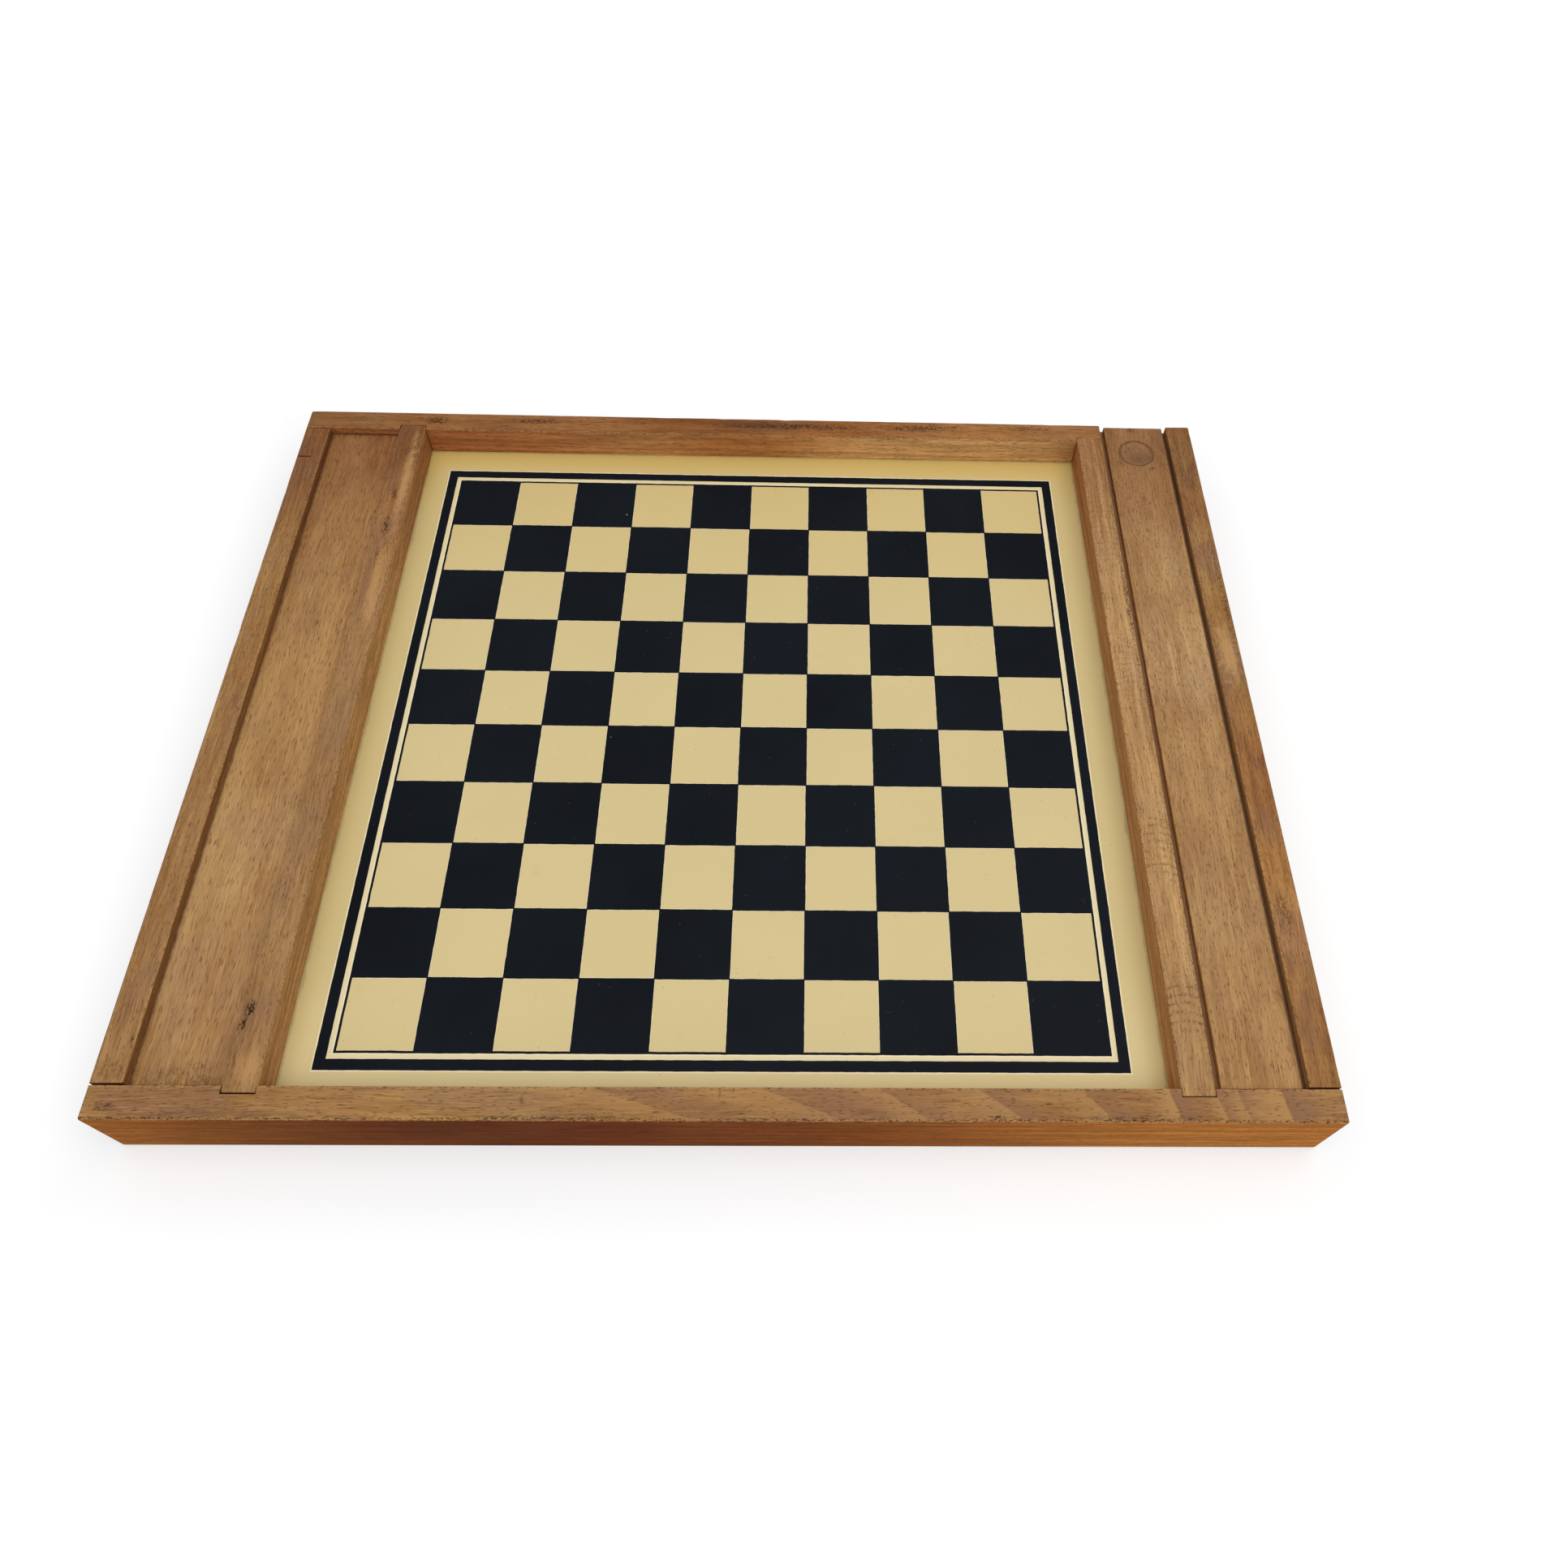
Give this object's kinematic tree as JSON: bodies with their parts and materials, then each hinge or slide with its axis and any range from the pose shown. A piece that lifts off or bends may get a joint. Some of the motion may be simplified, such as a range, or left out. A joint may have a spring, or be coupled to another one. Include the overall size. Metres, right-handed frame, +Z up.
{
  "type": "reversible game board",
  "caption": "Wooden reversible game board with a sunken checkered board on each face and a side compartment under a sliding lid on each side.",
  "frame": {"origin": "middle of the underside of the frame, at the centre of the bounding box in X and Y", "axes": "+X to the right along the long side, +Y towards the end where the lids slide out, +Z up through the draughts face"},
  "size_m": [0.4466, 0.3516, 0.035],
  "materials": {
    "beech_rail": "aged, satin",
    "beech_panel": "aged, satin",
    "cream_board": "semi-gloss paint",
    "black_ink": "semi-gloss",
    "dowel_wood": "raw"
  },
  "bodies": {
    "frame": {"front_rail": "beech_rail", "back_rail": "beech_rail", "left_outer_rail": "beech_rail", "right_outer_rail": "beech_rail", "left_inner_rail": "beech_rail", "right_inner_rail": "beech_rail", "draughts_board": "cream_board", "chess_board": "cream_board", "left_floor": "beech_panel", "right_floor": "beech_panel", "draughts_squares": "black_ink", "draughts_border": "black_ink", "chess_squares": "black_ink", "chess_border": "black_ink", "left_lower_dowel": "dowel_wood", "left_upper_dowel": "dowel_wood", "right_lower_dowel": "dowel_wood", "right_upper_dowel": "dowel_wood"},
    "right_lid": {"right_lid": "beech_panel"},
    "left_lid": {"left_lid": "beech_panel"}
  },
  "joints": [
    {"name": "right_lid_slide", "type": "slide", "parent": "frame", "child": "right_lid", "axis": [0, 1, 0], "range_m": [0, 0.345]},
    {"name": "left_lid_slide", "type": "slide", "parent": "frame", "child": "left_lid", "axis": [0, 1, 0], "range_m": [0, 0.345]}
  ]
}
